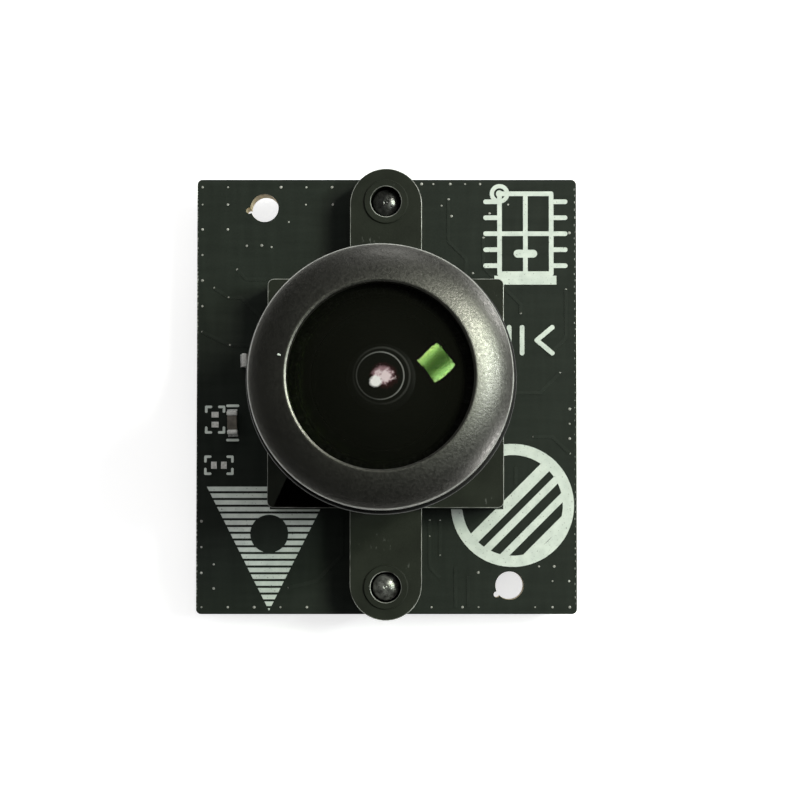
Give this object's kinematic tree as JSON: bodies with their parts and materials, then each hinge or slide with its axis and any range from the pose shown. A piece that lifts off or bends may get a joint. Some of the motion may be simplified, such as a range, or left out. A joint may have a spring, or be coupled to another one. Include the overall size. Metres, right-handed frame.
{
  "type": "camera module",
  "caption": "Small rectangular circuit board with a screwed-on round lens holder, a domed wide-angle lens in its thread and a flat-cable connector on the back.",
  "frame": {"origin": "middle of the part's bounding box at its lowest plane, under the lens axis, on the surface that the cable connector and the inductor rest on", "axes": "+Z is the way the lens looks, along the lens axis; +Y runs from the lower ear to the upper ear; +X points to the board edge where the flat cable enters on the back"},
  "size_m": [0.022, 0.0258, 0.0219],
  "materials": {
    "solder_mask": "satin black solder mask over woven glass laminate",
    "white_ink": "matt printed ink",
    "tinned_pad": "tinned copper",
    "chip_ceramic": "fired ceramic with tinned ends",
    "resistor_glaze": "black glaze with tinned ends",
    "sensor_ceramic": "black ceramic",
    "silicon": "polished silicon with colour filters",
    "clear_glass": "clear",
    "filter_glass": "pink interference coating",
    "holder_plastic": "fine moulded texture, black",
    "screw_steel": "blackened steel",
    "bright_screw": "zinc-plated steel",
    "barrel_black": "satin black, turned",
    "ring_black": "satin black, smooth crown",
    "front_glass": "polished, green anti-reflection coating",
    "inner_glass": "polished, coated",
    "seal_rubber": "soft black rubber",
    "flock_black": "dead matt black",
    "connector_beige": "glass-filled nylon, beige",
    "contact_gold": "gold flash over bronze",
    "latch_black": "glass-filled nylon, black",
    "chip_epoxy": "black moulded epoxy",
    "crystal_can": "nickel-plated lid",
    "ferrite": "moulded iron powder"
  },
  "bodies": {
    "module": {"circuit_board": "solder_mask", "printed_marks": "white_ink", "bare_pads": "tinned_pad", "front_capacitor": "chip_ceramic", "side_component": "chip_ceramic", "sensor_package": "sensor_ceramic", "sensor_die": "silicon", "sensor_cover_glass": "clear_glass", "infrared_filter": "filter_glass", "lens_holder": "holder_plastic", "upper_screw": "screw_steel", "lower_screw": "bright_screw", "connector_housing": "connector_beige", "connector_contacts": "contact_gold", "image_processor": "chip_epoxy", "flash_memory": "chip_epoxy", "crystal": "crystal_can", "voltage_regulators": "chip_epoxy", "power_inductor": "ferrite", "rear_capacitors": "chip_ceramic", "rear_resistors": "resistor_glaze"},
    "lens": {"lens_barrel": "barrel_black", "front_ring": "ring_black", "front_element": "front_glass", "seal_ring": "seal_rubber", "second_element": "inner_glass", "front_spacer": "flock_black", "third_element": "inner_glass", "aperture_stop": "flock_black", "fourth_element": "inner_glass", "rear_spacer": "flock_black", "rear_element": "inner_glass", "rear_retainer": "barrel_black"},
    "latch": {"connector_latch": "latch_black"}
  },
  "joints": [
    {"name": "focus_turn", "type": "hinge", "parent": "module", "child": "lens", "pos_m": [0, 0, 0.012], "axis": [0, 0, 1], "range_deg": [-180, 180]},
    {"name": "latch_slide", "type": "slide", "parent": "module", "child": "latch", "axis": [1, 0, 0], "range_m": [0, 0.0011]}
  ]
}
